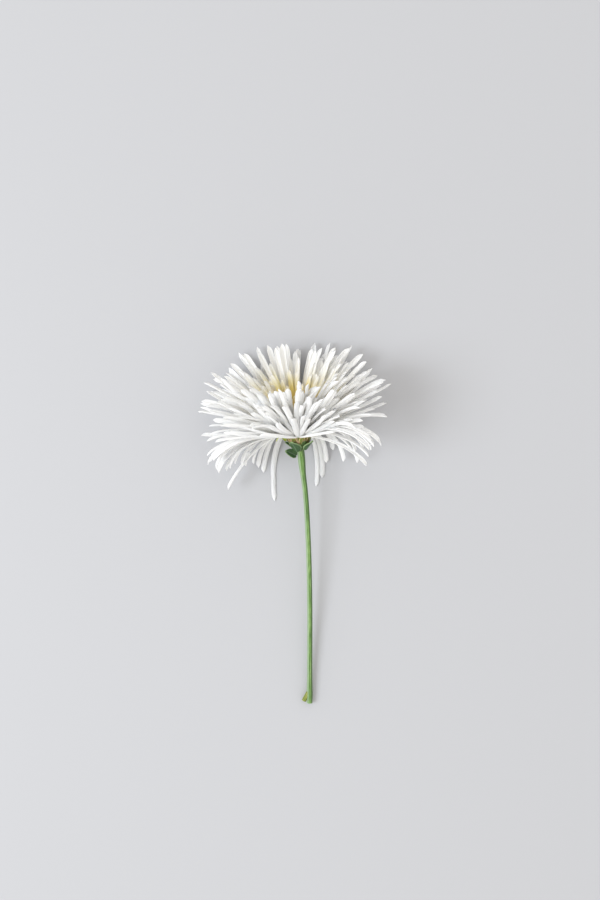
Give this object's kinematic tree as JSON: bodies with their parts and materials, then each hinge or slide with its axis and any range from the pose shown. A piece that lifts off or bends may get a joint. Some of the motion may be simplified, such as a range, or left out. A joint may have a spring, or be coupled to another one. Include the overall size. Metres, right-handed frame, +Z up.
{
  "type": "cut daisy",
  "caption": "Cut white double daisy, a chrysanthemum bloom with narrow quilled petals and a golden eye on a short bare stem, lying on its side.",
  "frame": {"origin": "on the surface that the flower lies on, under the middle of its box", "axes": "+Z up from the surface, +Y from the stem's cut foot towards the bloom, +X to the right of someone who looks down with the bloom at the top"},
  "size_m": [0.0766, 0.1576, 0.0558],
  "materials": {
    "stem": "satin",
    "leaf": "matte",
    "bract": "matte",
    "disc": "matte",
    "petal": "satin"
  },
  "bodies": {
    "root": {"disc_florets": "disc", "involucral_bract_01": "bract", "involucral_bract_02": "bract", "involucral_bract_03": "bract", "involucral_bract_04": "bract", "involucral_bract_05": "bract", "involucral_bract_06": "bract", "involucral_bract_07": "bract", "involucral_bract_08": "bract", "ray_outer_01": "petal", "ray_outer_02": "petal", "ray_outer_03": "petal", "ray_outer_04": "petal", "ray_outer_05": "petal", "ray_outer_06": "petal", "ray_outer_07": "petal", "ray_outer_08": "petal", "ray_outer_09": "petal", "ray_outer_10": "petal", "ray_outer_11": "petal", "ray_outer_12": "petal", "ray_outer_13": "petal", "ray_middle_01": "petal", "ray_middle_02": "petal", "ray_middle_03": "petal", "ray_middle_04": "petal", "ray_middle_05": "petal", "ray_middle_06": "petal", "ray_middle_07": "petal", "ray_middle_08": "petal", "ray_middle_09": "petal", "ray_middle_10": "petal", "ray_middle_11": "petal", "ray_middle_12": "petal", "ray_inner_01": "petal", "ray_inner_02": "petal", "ray_inner_03": "petal", "ray_inner_04": "petal", "ray_inner_05": "petal", "ray_inner_06": "petal", "ray_inner_07": "petal", "ray_inner_08": "petal", "ray_inner_09": "petal", "ray_reflexed_01": "petal", "ray_reflexed_02": "petal", "ray_reflexed_03": "petal", "ray_reflexed_04": "petal", "ray_reflexed_05": "petal", "ray_reflexed_06": "petal", "ray_reflexed_07": "petal", "ray_reflexed_08": "petal", "ray_reflexed_09": "petal", "ray_reflexed_10": "petal", "ray_reflexed_11": "petal", "ray_reflexed_12": "petal", "stem_and_receptacle": "stem", "stem_leaf_left": "leaf", "stem_leaf_front": "leaf", "stem_leaf_right": "leaf", "stem_leaf_under": "leaf"}
  },
  "joints": []
}
